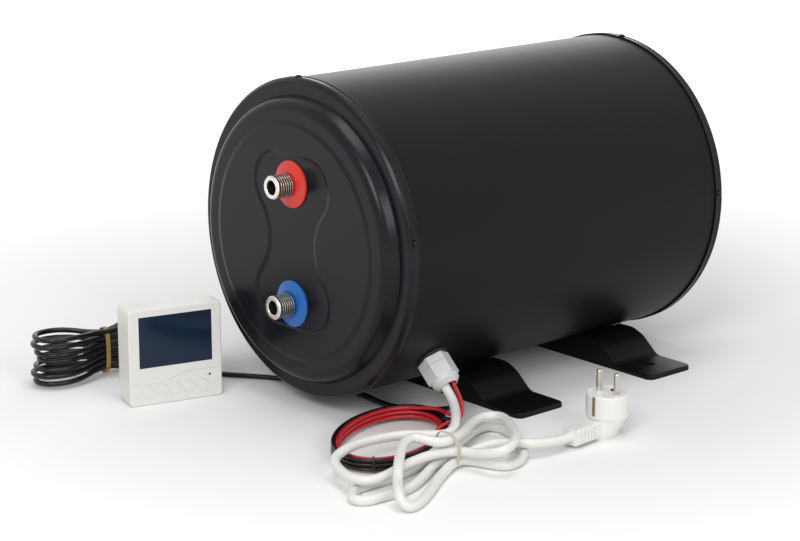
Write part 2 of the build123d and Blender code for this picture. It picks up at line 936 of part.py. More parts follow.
def plug_body():
    head_part = rod(plug_radius, plug_neck_height, plug_face_height)
    head_part = fillet(head_part.edges().sort_by(Axis.Z)[-1], plug_edge_radius)
    face = plug_face_height - plug_face_recess
    head_part -= rod(plug_radius - plug_rim, face, plug_face_height + overrun)
    lower = Pos(0, 0, plug_neck_height) * Circle(plug_neck_radius)
    base = Pos(0, -plug_base_shift, 0) * Ellipse(plug_base_half_width, plug_base_half_length)
    body = head_part + loft([Sketch() + base, Sketch() + lower], ruled=True)
    arm = block(-plug_arm_width / 2, plug_arm_width / 2, -plug_arm_end, 0, plug_arm_bottom, plug_arm_top)
    arm = fillet(arm.edges().filter_by(Axis.Y), plug_arm_radius)
    for i in range(groove_count):
        y = -plug_arm_end + groove_margin + groove_pitch * i
        cut = block(-plug_arm_width, plug_arm_width, y, y + groove_width, 0, plug_neck_height)
        half = plug_arm_width / 2 - groove_depth
        core = block(-half, half, y, y + groove_width, plug_arm_bottom + groove_depth,
                     plug_arm_top - groove_depth)
        arm -= cut - core
    body += arm
    body -= rod(earth_hole_radius, face - earth_hole_depth, plug_face_height + overrun,
                (0, earth_hole_place))
    for side in (-1, 1):
        body -= clip_box(side, clip_slot_gap)
    return plug * body


def plug_pins():
    face = plug_face_height - plug_face_recess
    tip = pin_radius / 2
    pieces = []
    for side in (-1, 1):
        pin = rod(pin_radius, face, face + pin_length, (side * pin_spacing / 2, 0))
        pieces.append(fillet(pin.edges().sort_by(Axis.Z)[-1], tip))
    return plug * put_together(pieces)


def plug_earth_clips():
    return plug * put_together([clip_box(side, 0) for side in (-1, 1)])


# Cords. Routes are points chosen by hand, from the gland or the panel outwards.


def gland_point(seat, out):
    """A place on the line of a cord's seat in the gland's mouth."""
    return Vector(*(heater * gland * Pos(seat[0], seat[1], out)).position)


def plug_point(along):
    return Vector(*(plug * Pos(0, -plug_arm_end - along, cable_height)).position)


def panel_point(out):
    return Vector(*(panel * Pos(inlet_place[0], inlet_place[1], -panel_depth - out)).position)


mains_route = [gland_point(mains_seat, seal_top), gland_point(mains_seat, seal_top + mouth_clear),
               (152, -190, 25.4), (171, -207, 24.2), (180, -218, 22)]
# The tied hank: a long left loop, then one to the right, one to the front and two more on the floor
mains_loops = [(184, -230, 21), (175, -240, 20.6), (159, -251, 19.6), (150, -269, 18.6), (147, -292, 18.6),
               (151, -313, 18.6), (157, -330, 16), (171, -337, 13), (196, -344, 13.4), (212, -340, 14),
               (212, -321, 14.2), (203, -294, 14.4), (200, -268, 15), (202, -252, 15.2), (207, -239, 14.9),
               (220, -233, 15.4), (241, -231, 20), (250, -222, 24.2), (235, -198, 24.2), (200, -171, 21),
               (176, -157, 19), (163, -166, 18.5), (169, -187, 18.6), (192, -217, 22.4), (205, -244, 25),
               (203, -256, 25), (194, -262.6, 26.8), (185, -268, 28), (189, -282, 28), (204, -299, 25.5),
               (222, -317, 22.8), (232, -326, 16), (248, -339, 13.6), (254, -340, 7), (259, -335, 4.3),
               (253, -319, 4.3), (239, -297, 4.3), (223, -274, 4.3), (211, -252, 5.4), (205, -236, 5.4),
               (210, -226, 4.5), (227, -220, 4.3), (240, -213, 4.3), (238, -196, 4.3), (223, -177, 4.3),
               (200, -161, 4.3), (174, -149, 4.3), (155, -152, 4.3), (158, -173, 6), (181, -207, 12),
               (197.5, -235, 15), (190, -245, 14.4), (188.5, -257, 4.8), (196, -287, 4.3), (199, -312, 4.3),
               (197, -330, 4.3), (200, -346, 4.3), (215, -359, 4.3), (225, -351, 4.3), (225, -335, 4.3),
               (227, -319, 4.3), (223, -300, 4.3), (211, -278, 4.3), (199, -258, 5), (195.5, -243, 5.4),
               (195, -230, 5.2)]
mains_end = [(199, -220, 6), (203, -210, 10), (209, -201, 13), (216, -191, 13.4), (223, -183, 13.4),
             (231, -174, 12.6), plug_point(mouth_clear), plug_point(0)]
red_route = [gland_point(red_seat, seal_top), gland_point(red_seat, seal_top + wire_clear),
             (149.5, -179, 26), (156.5, -188, 19), (153, -201, 17.2), (150.5, -212, 12), (157, -222, 3.6)]
black_route = [gland_point(black_seat, seal_top), gland_point(black_seat, seal_top + wire_clear),
               (141, -175, 19), (149, -183, 9), (150, -193, 3.6)]
# The free end of each wire, above its coil
red_free = [(118, -182.5, 17.6), (131, -185, 18.6), (139.5, -188.5, 19), (145, -186.5, 19.2)]
black_free = [(138, -191, 14.9), (146, -187.5, 15.2)]
control_route = [(-150, -247, 2.6), (-121, -236, 2.6), (-98, -218, 2.6), (-72, -200, 2.6), (-40, -186, 2.6),
                 (-8, -177, 2.6), (20, -176, 2.6), (46, -180, 2.6), (66, -175, 2.6), (80, -164, 2.8),
                 (93, -156, 4), (106, -155, 8), (118, -159, 15), (126.5, -166, 23)]
control_end = [(-178, -290, 52), (-160, -284, 59), (-143, -291, 63)]


def middle(a, b):
    return (Vector(*a) + Vector(*b)) / 2


def smooth(points):
    """Straight runs joined by tangent arcs, each arc as large as its two runs allow."""
    corners = [Vector(*p) for p in points]
    radii = []
    for before, corner, after in zip(corners, corners[1:], corners[2:]):
        turn = math.radians((corner - before).get_angle(after - corner))
        shorter = min((corner - before).length, (after - corner).length)
        radii.append(run_share * shorter / math.tan(turn / 2))
    return FilletPolyline(*corners, radius=radii), radii


def biarc(start, start_way, end, end_way):
    """Two arcs that leave start and reach end in the given directions."""
    chord = end - start
    square = 2 * (1 - start_way.dot(end_way))
    across = 2 * chord.dot(start_way + end_way)
    reach = chord.dot(chord) / across
    if square > same_way:
        root = math.sqrt(across * across + 4 * square * chord.dot(chord))
        reach = (root - across) / (2 * square)
    joint = (start + start_way * reach + end - end_way * reach) * 0.5
    first = TangentArc(start, joint, tangent=start_way)
    return [first, TangentArc(joint, end, tangent=first % 1)]


def through(stations):
    """A smooth path of biarcs through pairs of a point and a direction."""
    arcs = []
    for (start, start_way), (end, end_way) in zip(stations, stations[1:]):
        arcs += biarc(start, start_way, end, end_way)
    return Wire([edge for arc in arcs for edge in arc.edges()])


def cord(path, diameter):
    start = Plane(origin=path @ 0, z_dir=path % 0)
    return sweep(start * Circle(diameter / 2), path=path)


def coil_station(turns, inset, first_angle):
    """A place on a wire coil and its direction, after so many turns."""
    t = math.radians(first_angle - 360 * turns)
    wide = coil_long - inset
    high = coil_short - inset
    place = Vector(wide * math.cos(t), high * math.sin(t), 0).rotate(Axis.Z, coil_yaw)
    way = Vector(wide * math.sin(t), -high * math.cos(t), 0).rotate(Axis.Z, coil_yaw).normalized()
    climb = coil_rise / (math.pi * (wide + high))
    place += Vector(coil_centre[0], coil_centre[1], coil_floor + coil_rise * turns)
    return place, (way + Vector(0, 0, climb)).normalized()


def wire_coil(inset, first_angle, turns, free):
    """The path of one wire's coil, which ends in a free length."""
    steps = range(coil_steps + 1)
    stations = [coil_station(turns * step / coil_steps, inset, first_angle) for step in steps]
    points = [stations[-1][0]] + [Vector(*p) for p in free]
    for before, point, after in zip(points, points[1:], points[2:]):
        stations.append((point, (after - before).normalized()))
    stations.append((points[-1], (points[-1] - points[-2]).normalized()))
    return through(stations)


def wire_lead(route, entry, inset, first_angle):
    start, way = coil_station(0, inset, first_angle)
    return route + [start - way * entry, start]


def wire_end(free):
    start = Vector(*free[-1])
    way = (start - Vector(*free[-2])).normalized()
    return Plane(origin=start, z_dir=way) * rod(core_radius, 0, core_length)


def coil_tie():
    """A flat black strip round the bundle at its front end."""
    place, way = coil_station(tie_turn, 0, black_start)
    across = Vector(0, 0, 1).cross(way).normalized()
    width = wire_pitch + wire_diameter + 2 * tie_gap
    height = coil_rise * 2 + wire_diameter + 2 * tie_gap
    low = place.Z - wire_diameter / 2 - tie_gap
    centre = Vector(place.X, place.Y, low + height / 2) - across * (wire_pitch / 2)
    ring = Rectangle(width + 2 * strip_thickness, height + 2 * strip_thickness) - Rectangle(width, height)
    frame = Plane(origin=centre, x_dir=across, z_dir=Vector(way.X, way.Y, 0))
    return frame * extrude(ring, strip_width / 2, both=True)


def hank_station(eighths):
    """A place on the control cord's hank after so many eighths of a loop, and its direction."""
    corner = eighths % 8
    ends = (1, hank_bulge_share, 0, -hank_bulge_share, -1, -hank_bulge_share, 0, hank_bulge_share)
    sides = (0, hank_half_width, hank_waist, hank_half_width)
    sides += tuple(-side for side in sides)
    ways = ((0, 1), (-1, 0), (-1, 0), (-1, 0), (0, -1), (1, 0), (1, 0), (1, 0))
    rise = hank_waist_rise if corner in (2, 6) else hank_end_rise
    place = Vector(hank_half_length * ends[corner], sides[corner], 0).rotate(Axis.Z, hank_yaw)
    way = Vector(*ways[corner], 0).rotate(Axis.Z, hank_yaw)
    height = hank_middle + rise * (eighths - hank_eighths / 2) / 8
    return place + Vector(hank_centre[0], hank_centre[1], height), way


def hank_path():
    return through([hank_station(i) for i in range(hank_eighths + 1)])


def hank_band():
    """The rubber band round the waist of the control cord's hank."""
    strands = hank_waist_rise * (hank_eighths - 2) / 8
    width = 2 * hank_waist + control_diameter + 2 * tie_gap
    height = strands + control_diameter + 2 * tie_gap
    edge = 2 * band_thickness
    ring = RectangleRounded(width + edge, height + edge, control_diameter / 2 + band_thickness)
    ring -= RectangleRounded(width, height, control_diameter / 2)
    turn = math.radians(hank_yaw)
    way = (math.cos(turn), math.sin(turn), 0)
    across = (math.sin(turn), -math.cos(turn), 0)
    middle_height = hank_middle + hank_waist_rise * band_shift / 8
    frame = Plane(origin=(hank_centre[0], hank_centre[1], middle_height), x_dir=across, z_dir=way)
    return frame * extrude(ring, band_width / 2, both=True)


def mains_tie():
    """The thin wire round the waist of the mains hank."""
    x, z = tie_half_width, tie_half_height
    frame = Plane(origin=tie_centre, x_dir=(1, 0, 0), z_dir=(0, -1, 0))
    corners = [frame.from_local_coords(p) for p in ((-x, -z), (x, -z), (x, z), (-x, z))]
    path = FilletPolyline(*corners, radius=tie_corner, close=True)
    return cord(path, 2 * tie_radius)


def sampled(path):
    """Points along a path, a wire's width or less apart."""
    points = []
    for edge in path.edges():
        count = max(2, round(edge.length / sample_step))
        points += [tuple(edge @ (i / count)) for i in range(count)]
    return points


def least_gap(first, second, diameters):
    """The least gap between two cords, or between a cord and its own other turns."""
    a = sampled(first)
    b = sampled(second)
    near = math.inf
    skip = round(same_cord_share * diameters[0] / sample_step) if first is second else 0
    for i, p in enumerate(a):
        for j, q in enumerate(b):
            if not skip or j > i + skip:
                near = min(near, math.dist(p, q))
    return near - (diameters[0] + diameters[1]) / 2


def cord_paths():
    """Each cord node's path and diameter."""
    hank_start = middle(mains_route[-1], mains_loops[0])
    hank_stop = middle(mains_loops[-1], mains_end[0])
    mains_lead, lead_radii = smooth(mains_route + [hank_start])
    mains_hank, loop_radii = smooth([hank_start] + mains_loops + [hank_stop])
    mains_tail, tail_radii = smooth([hank_stop] + mains_end)
    red_lead, red_radii = smooth(wire_lead(red_route, red_entry, wire_pitch, red_start))
    black_lead, black_radii = smooth(wire_lead(black_route, black_entry, 0, black_start))
    begin, begin_way = hank_station(0)
    stop, stop_way = hank_station(hank_eighths)
    route = [begin, begin - begin_way * control_clear] + control_route
    route += [gland_point(control_seat, seal_top + control_clear), gland_point(control_seat, seal_top)]
    control_lead, control_radii = smooth(route)
    route = [stop, stop + stop_way * control_clear] + control_end
    control_tail, panel_radii = smooth(route + [panel_point(control_clear), panel_point(0)])
    shown = {"mains_lead": lead_radii, "mains_hank": loop_radii, "mains_tail": tail_radii,
             "red_lead": red_radii, "black_lead": black_radii, "control_lead": control_radii,
             "control_tail": panel_radii}
    for name, radii in shown.items():
        print(name, "radii", [round(radius, 1) for radius in radii])
    return {
        "mains_lead": (mains_lead, mains_diameter),
        "mains_hank": (mains_hank, mains_diameter),
        "mains_tail": (mains_tail, mains_diameter),
        "red_lead": (red_lead, wire_diameter),
        "red_coil": (wire_coil(wire_pitch, red_start, red_turns, red_free), wire_diameter),
        "black_lead": (black_lead, wire_diameter),
        "black_coil": (wire_coil(0, black_start, black_turns, black_free), wire_diameter),
        "control_lead": (control_lead, control_diameter),
        "control_hank": (hank_path(), control_diameter),
        "control_tail": (control_tail, control_diameter),
    }


def report_gaps(paths):
    names = list(paths)
    for i, name in enumerate(names):
        path, diameter = paths[name]
        own = least_gap(path, path, (diameter, diameter))
        print(name, "length", round(path.length), "least gap to itself", round(own, 2))
        for other in names[i + 1:]:
            gap = least_gap(path, paths[other][0], (diameter, paths[other][1]))
            if gap < 2 * print_gap:
                print("    to", other, round(gap, 2))


if __name__ == "__main__":
    os.makedirs("parts", exist_ok=True)
    pieces = {
        "outer_shell": outer_shell(),
        "front_cover": front_cover(),
        "rear_cover": rear_cover(),
        "cover_screws": cover_screws(),
        "tank_body": tank_body(),
        "tank_head_front": tank_head_front(),
        "tank_head_rear": tank_head_rear(),
        "insulation_sleeve": insulation_sleeve(),
        "insulation_front": insulation_front(),
        "insulation_rear": insulation_rear(),
        "hot_outlet_stub": water_stub(hot_height),
        "cold_inlet_stub": water_stub(cold_height),
        "hot_collar": collar(hot_height),
        "cold_collar": collar(cold_height),
        "hot_pickup_pipe": hot_pickup_pipe(),
        "cold_inlet_pipe": cold_inlet_pipe(),
        "element_230v": element(mains_element_height, mains_element_reach),
        "element_12v": element(low_element_height, low_element_reach),
        "element_gaskets": element_gaskets(),
        "safety_thermostat": safety_thermostat(),
        "temperature_sensor": temperature_sensor(),
        "board_tray": board_tray(),
        "control_board": control_board(),
        "board_components": board_components(),
        "gland_gasket": gland_gasket(),
        "gland_body": gland_body(),
        "gland_nut": gland_nut(),
        "gland_seal": gland_seal(),
        "gland_locknut": gland_locknut(),
        "foot_front": foot(-foot_place),
        "foot_rear": foot(foot_place),
        "foot_screws": foot_screws(),
        "panel_housing": panel_housing(),
        "panel_back": panel_back(),
        "panel_window": panel_window(),
        "panel_display": panel_display(),
        "panel_board": panel_board(),
        "panel_switches": panel_switches(),
        "plug_body": plug_body(),
        "plug_pins": plug_pins(),
        "plug_earth_clips": plug_earth_clips(),
        "wire_ends": put_together([wire_end(red_free), wire_end(black_free)]),
        "coil_tie": coil_tie(),
        "hank_band": hank_band(),
        "mains_tie": mains_tie(),
    }
    for number, place in enumerate(button_places, start=1):
        pieces[f"button_{number}"] = button(place)
    cords = cord_paths()
    for name, (path, diameter) in cords.items():
        pieces[name] = cord(path, diameter)
        full = math.pi * diameter * diameter / 4 * path.length
        print(name, "volume", round(pieces[name].volume), "of", round(full))
    report_gaps(cords)
    for name, piece in pieces.items():
        export_step(piece, f"parts/{name}.step")
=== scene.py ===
import math

import bmesh
import bpy
from mathutils import Matrix, Quaternion, Vector


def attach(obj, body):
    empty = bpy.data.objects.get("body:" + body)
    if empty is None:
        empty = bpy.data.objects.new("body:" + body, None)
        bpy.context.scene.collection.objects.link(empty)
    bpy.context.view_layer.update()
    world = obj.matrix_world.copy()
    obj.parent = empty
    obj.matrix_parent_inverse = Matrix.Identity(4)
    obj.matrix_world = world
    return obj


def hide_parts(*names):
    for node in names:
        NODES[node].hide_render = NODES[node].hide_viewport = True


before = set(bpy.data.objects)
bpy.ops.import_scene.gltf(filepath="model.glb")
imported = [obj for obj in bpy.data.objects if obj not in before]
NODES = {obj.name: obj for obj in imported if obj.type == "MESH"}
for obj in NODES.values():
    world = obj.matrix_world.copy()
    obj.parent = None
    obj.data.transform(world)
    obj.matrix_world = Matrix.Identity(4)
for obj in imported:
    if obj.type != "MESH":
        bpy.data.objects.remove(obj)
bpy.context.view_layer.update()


# Camera
# It stands at the heater's front right, a little above it, and looks through a long lens at the
# front cover and the side of the shell.
camera_place = Vector((1.4658, -1.4073, 0.6239))
camera_azimuth = math.radians(48.71)
camera_elevation = math.radians(14.85)
camera_roll = math.radians(0.06)
lens_mm = 99.2

back = Vector((math.sin(camera_azimuth) * math.cos(camera_elevation),
               -math.cos(camera_azimuth) * math.cos(camera_elevation),
               math.sin(camera_elevation)))
camera = bpy.data.objects.new("camera", bpy.data.cameras.new("camera"))
bpy.context.scene.collection.objects.link(camera)
camera.data.lens = lens_mm
camera.data.clip_end = 60
camera.location = camera_place
camera.rotation_mode = "QUATERNION"
camera.rotation_quaternion = (-back).to_track_quat("-Z", "Y") @ Quaternion((0, 0, 1), camera_roll)
bpy.context.scene.camera = camera
bpy.context.scene.view_settings.view_transform = "Standard"


# Studio
# A plain white floor that runs out of sight, a pale room around it and four soft lamps. The lens and
# the glossy surfaces see the room at full white, and the rest is lit by less of it.
def srgb(hex_colour):
    """A hex colour as Blender's linear RGBA."""
    parts = [int(hex_colour[i:i + 2], 16) / 255 for i in (0, 2, 4)]
    linear = [c / 12.92 if c <= 0.04045 else ((c + 0.055) / 1.055) ** 2.4 for c in parts]
    return (*linear, 1.0)


def add(tree, kind, inputs=None, **settings):
    """Adds a node with its settings, and with a value or a link on each named input."""
    made = tree.nodes.new(kind)
    for name, value in settings.items():
        setattr(made, name, value)
    for name, value in (inputs or {}).items():
        if isinstance(value, bpy.types.NodeSocket):
            tree.links.new(value, made.inputs[name])
        else:
            made.inputs[name].default_value = value
    return made


def seen_by_lens(tree, rays):
    """1 for the named kinds of rays and 0 for the rest."""
    path = add(tree, "ShaderNodeLightPath")
    total = path.outputs[rays[0]]
    for ray in rays[1:]:
        total = add(tree, "ShaderNodeMath", {0: total, 1: path.outputs[ray]},
                    operation="ADD", use_clamp=True).outputs[0]
    return total


room_light = 0.48
world = bpy.data.worlds.new("studio")
bpy.context.scene.world = world
world.use_nodes = True
world.node_tree.nodes.clear()
seen = seen_by_lens(world.node_tree, ("Is Camera Ray", "Is Glossy Ray", "Is Transmission Ray"))
strength = add(world.node_tree, "ShaderNodeMapRange", {"Value": seen, "To Min": room_light, "To Max": 1.0})
room = add(world.node_tree, "ShaderNodeBackground", {"Color": (1, 1, 1, 1), "Strength": strength.outputs[0]})
add(world.node_tree, "ShaderNodeOutputWorld", {"Surface": room.outputs[0]})

floor_radius = 25
floor_mesh = bpy.data.meshes.new("floor")
bm = bmesh.new()
bmesh.ops.create_circle(bm, cap_ends=True, radius=floor_radius, segments=96)
bm.to_mesh(floor_mesh)
bm.free()
floor = bpy.data.objects.new("floor", floor_mesh)
bpy.context.scene.collection.objects.link(floor)
# White laminate: matt, and lifted away from the heater where the lens sees it, so that it reads as
# white there and keeps the heater's shadow
floor_lift = (0.0, 0.5)
floor_lift_radius = (0.3, 1.2)
backdrop = bpy.data.materials.new("white_laminate")
backdrop.use_nodes = True
backdrop.node_tree.nodes.clear()
tree = backdrop.node_tree
lit = add(tree, "ShaderNodeBsdfDiffuse", {"Color": srgb("f2f2f2")})
from_centre = add(tree, "ShaderNodeVectorMath", {0: add(tree, "ShaderNodeTexCoord").outputs["Object"]},
                  operation="LENGTH")
far = add(tree, "ShaderNodeMapRange", {
    "Value": from_centre.outputs["Value"], "From Min": floor_lift_radius[0], "From Max": floor_lift_radius[1],
    "To Min": floor_lift[0], "To Max": floor_lift[1]})
lift = add(tree, "ShaderNodeMath", {0: seen_by_lens(tree, ("Is Camera Ray", "Is Glossy Ray")),
                                    1: far.outputs[0]}, operation="MULTIPLY")
glow = add(tree, "ShaderNodeEmission", {"Color": (1, 1, 1, 1), "Strength": lift.outputs[0]})
both = add(tree, "ShaderNodeAddShader", {0: lit.outputs[0], 1: glow.outputs[0]})
add(tree, "ShaderNodeOutputMaterial", {"Surface": both.outputs[0]})
floor_mesh.materials.append(backdrop)

# Each lamp's place, width and power, in metres and watts; all face the middle of the heater
lamp_target = Vector((0, 0, 0.12))
lamps = {
    "softbox_front": ((1.6, -2.5, 2.1), 1.3, 41),
    "softbox_top": ((0.2, -0.2, 2.6), 1.2, 16),
    "softbox_right": ((2.3, -0.5, 1.2), 0.9, 12),
    "softbox_rear": ((-1.8, 1.8, 0.9), 1.2, 8),
}
for name, (place, size, power) in lamps.items():
    lamp = bpy.data.objects.new(name, bpy.data.lights.new(name, "AREA"))
    bpy.context.scene.collection.objects.link(lamp)
    lamp.data.size = size
    lamp.data.energy = power
    lamp.location = place
    lamp.rotation_mode = "QUATERNION"
    lamp.rotation_quaternion = (lamp_target - Vector(place)).to_track_quat("-Z", "Y")


# Mains lead
# White round flex, 8.4 mm across: three stranded wires in an extruded sheath. It is clamped in the
# gland, folded and tied into a hank in front of the heater, and moulded into its plug.
MM = 0.001
drift_mm = 36


def polymer(name, colour, roughness, grain_mm, grain_depth_mm, tone=0.06, ior=1.5):
    """A moulded or extruded plastic: its colour drifts slightly, and its skin has a fine grain.

    The grain's real size is a few hundredths of a millimetre: it is drawn coarser, so that it shows.
    """
    material = bpy.data.materials.new(name)
    material.use_nodes = True
    tree = material.node_tree
    tree.nodes.clear()
    place = add(tree, "ShaderNodeTexCoord").outputs["Object"]
    drift = add(tree, "ShaderNodeTexNoise", {"Vector": place, "Scale": 1 / (drift_mm * MM), "Detail": 2.0})
    full = srgb(colour)
    dim = (*[c * (1 - tone) for c in full[:3]], 1.0)
    tint = add(tree, "ShaderNodeMix", {0: drift.outputs["Fac"], 6: dim, 7: full}, data_type="RGBA")
    grain = add(tree, "ShaderNodeTexNoise", {"Vector": place, "Scale": 1 / (grain_mm * MM), "Detail": 3.0})
    sheen = add(tree, "ShaderNodeMapRange", {"Value": grain.outputs["Fac"], "To Min": roughness * 0.85,
                                             "To Max": min(1.0, roughness * 1.15)})
    bump = add(tree, "ShaderNodeBump", {"Height": grain.outputs["Fac"], "Strength": 0.5,
                                        "Distance": grain_depth_mm * MM})
    skin = add(tree, "ShaderNodeBsdfPrincipled", {
        "Base Color": tint.outputs[2], "Roughness": sheen.outputs[0], "Normal": bump.outputs[0],
        "IOR": ior})
    add(tree, "ShaderNodeOutputMaterial", {"Surface": skin.outputs[0]})
    return material


def cord(name, points, diameter_mm, material):
    """A round cord along one smooth open spline, from points in millimetres."""
    curve = bpy.data.curves.new(name, "CURVE")
    curve.dimensions = "3D"
    spline = curve.splines.new("NURBS")
    spline.points.add(len(points) - 1)
    for point, place in zip(spline.points, points):
        point.co = (*(Vector(place) * MM), 1.0)
    spline.order_u = 3
    spline.use_endpoint_u = True
    spline.resolution_u = 6
    curve.bevel_depth = diameter_mm / 2 * MM
    curve.bevel_resolution = 4
    curve.use_fill_caps = True
    curve.materials.append(material)
    made = bpy.data.objects.new(name, curve)
    bpy.context.scene.collection.objects.link(made)
    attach(made, "heater")
    return made


def metres(point):
    return tuple(Vector(point) * MM)


mains_diameter = 8.4
mains_route = [(124.64, -178.2, 38.98), (134.96, -178.2, 29.52), (152, -190, 25.4), (171, -207, 24.2),
               (180, -218, 22)]
# A long left loop, then one to the right, one to the front and two more on the floor
mains_loops = [(184, -230, 21), (175, -240, 20.6), (159, -251, 19.6), (150, -269, 18.6), (147, -292, 18.6),
               (151, -313, 18.6), (157, -330, 16), (171, -337, 13), (196, -344, 13.4), (212, -340, 14),
               (212, -321, 14.2), (203, -294, 14.4), (200, -268, 15), (202, -252, 15.2), (207, -239, 14.9),
               (220, -233, 15.4), (241, -231, 20), (250, -222, 24.2), (235, -198, 24.2), (200, -171, 21),
               (176, -157, 19), (163, -166, 18.5), (169, -187, 18.6), (192, -217, 22.4), (205, -244, 25),
               (203, -256, 25), (194, -262.6, 26.8), (185, -268, 28), (189, -282, 28), (204, -299, 25.5),
               (222, -317, 22.8), (232, -326, 16), (248, -339, 13.6), (254, -340, 7), (259, -335, 4.3),
               (253, -319, 4.3), (239, -297, 4.3), (223, -274, 4.3), (211, -252, 5.4), (205, -236, 5.4),
               (210, -226, 4.5), (227, -220, 4.3), (240, -213, 4.3), (238, -196, 4.3), (223, -177, 4.3),
               (200, -161, 4.3), (174, -149, 4.3), (155, -152, 4.3), (158, -173, 6), (181, -207, 12),
               (197.5, -235, 15), (190, -245, 14.4), (188.5, -257, 4.8), (196, -287, 4.3), (199, -312, 4.3),
               (197, -330, 4.3), (200, -346, 4.3), (215, -359, 4.3), (225, -351, 4.3), (225, -335, 4.3),
               (227, -319, 4.3), (223, -300, 4.3), (211, -278, 4.3), (199, -258, 5), (195.5, -243, 5.4),
               (195, -230, 5.2)]
mains_end = [(199, -220, 6), (203, -210, 10), (209, -201, 13), (216, -191, 13.4), (223, -183, 13.4),
             (231, -174, 12.6), (235.4, -147.71, 10.25), (234.31, -133.75, 10.25)]
# White PVC: extruded, so the eye sees a smooth sheath with a soft satin shine
white_pvc = polymer("white_pvc_sheath", "e6e5e1", 0.38, 0.5, 0.03, tone=0.03)
mains_points = mains_route + mains_loops + mains_end
mains = cord("mains_cord", mains_points, mains_diameter, white_pvc)
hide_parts("mains_lead", "mains_hank", "mains_tail")


# Mains plug
# A white moulded angled plug with two nickel-plated pins and earth contacts in its sides; the lead
# is moulded into its ribbed neck.
tool_mark_depth_mm = 0.02


def metal(name, colour, roughness, turned_mm=0.6, tone=0.12):
    """A bare or plated metal, with tooling marks drawn coarse enough to show."""
    material = bpy.data.materials.new(name)
    material.use_nodes = True
    tree = material.node_tree
    tree.nodes.clear()
    place = add(tree, "ShaderNodeTexCoord").outputs["Object"]
    marks = add(tree, "ShaderNodeTexNoise", {"Vector": place, "Scale": 1 / (turned_mm * MM), "Detail": 4.0})
    sheen = add(tree, "ShaderNodeMapRange", {"Value": marks.outputs["Fac"], "To Min": roughness * (1 - tone),
                                             "To Max": roughness * (1 + tone)})
    bump = add(tree, "ShaderNodeBump", {"Height": marks.outputs["Fac"], "Strength": 0.3,
                                        "Distance": tool_mark_depth_mm * MM})
    skin = add(tree, "ShaderNodeBsdfPrincipled", {
        "Base Color": srgb(colour), "Metallic": 1.0, "Roughness": sheen.outputs[0],
        "Normal": bump.outputs[0]})
    add(tree, "ShaderNodeOutputMaterial", {"Surface": skin.outputs[0]})
    return material


def dress(material, *nodes):
    """Gives CAD nodes their material."""
    for node in nodes:
        piece = NODES[node]
        for slot in piece.material_slots:
            slot.material = material


# Moulded PVC, slightly whiter and softer than the sheath
dress(polymer("white_moulded_pvc", "e9e9e6", 0.34, 0.8, 0.03, tone=0.02), "plug_body")
# Nickel on the pins gives warm bright streaks, and the bare brass springs in the sides look dull gold
dress(metal("nickel_plate", "cfc8bd", 0.2), "plug_pins")
dress(metal("spring_brass", "ab9270", 0.3), "plug_earth_clips")


# Earth socket
# A round hole in the plug's face, which takes a wall socket's earth pin. A black cylinder set in it
# nearly flush is painted shade, so that the eye sees a dark hole.
socket_centre = (229.75, -75.93, 34.2)
socket_radius = 3.6
socket_depth = 9
socket_mesh = bpy.data.meshes.new("plug_earth_socket")
bm = bmesh.new()
bmesh.ops.create_cone(bm, cap_ends=True, segments=32, radius1=socket_radius * MM,
                      radius2=socket_radius * MM, depth=socket_depth * MM,
                      matrix=Matrix.Translation(metres(socket_centre)))
bm.to_mesh(socket_mesh)
bm.free()
# Painted shade: a near-black colour for the shade inside the earth hole
socket_mesh.materials.append(polymer("earth_hole_painted_shade", "0c0b0a", 0.6, 0.5, 0.02))
plug_socket = bpy.data.objects.new("plug_earth_socket", socket_mesh)
bpy.context.scene.collection.objects.link(plug_socket)
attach(plug_socket, "heater")


# Low-voltage wires
# A red and a black stranded wire in PVC, each wound into a loose oval coil in front of the heater, the
# red one inside the black one. Sizes are in millimetres and angles in degrees.
wire_diameter = 3.4
coil_centre = Vector((130, -245, 0))
coil_yaw = math.radians(118)
coil_long, coil_short = 71, 44
coil_floor, coil_rise = 2.7, 3.9
wire_pitch = 4.2
points_per_turn = 24
# Where each coil starts, how many turns it has, and how long its straight entry is
red_start, red_turns, red_entry = 262, 2.7, 6.5
black_start, black_turns, black_entry = 285, 2.905, 9.5


def coil_place(turns, inset, first_angle):
    """A place on a wire coil and its direction, after so many turns."""
    t = math.radians(first_angle - 360 * turns)
    wide, high = coil_long - inset, coil_short - inset
    turn = Matrix.Rotation(coil_yaw, 3, "Z")
    place = turn @ Vector((wide * math.cos(t), high * math.sin(t), 0)) + coil_centre
    way = turn @ Vector((wide * math.sin(t), -high * math.cos(t), 0)).normalized()
    way.z = coil_rise / (math.pi * (wide + high))
    return place + Vector((0, 0, coil_floor + coil_rise * turns)), way.normalized()


def wire_points(route, entry, inset, first_angle, turns, free):
    """A wire's control points: its lead, its coil and its free end."""
    start, way = coil_place(0, inset, first_angle)
    points = route + [tuple(start - way * entry)]
    # The smooth line runs inside its control points, which are moved out by as much
    out = 1 - 1 / math.cos(math.pi / points_per_turn)
    steps = round(turns * points_per_turn)
    for step in range(1, steps + 1):
        place, way = coil_place(turns * step / steps, inset + out * coil_short, first_angle)
        points.append(tuple(place))
    return points + free


red_route = [(128.15, -172.8, 42.81), (135.52, -172.8, 36.06), (149.5, -179, 26), (156.5, -188, 19),
             (153, -201, 17.2), (150.5, -212, 12), (157, -222, 3.6)]
red_free = [(118, -182.5, 17.6), (131, -185, 18.6), (139.5, -188.5, 19), (145, -186.5, 19.2)]
black_route = [(125.52, -171.6, 39.94), (132.89, -171.6, 33.18), (141, -175, 19), (149, -183, 9),
               (150, -193, 3.6)]
black_free = [(138, -191, 14.9), (146, -187.5, 15.2)]
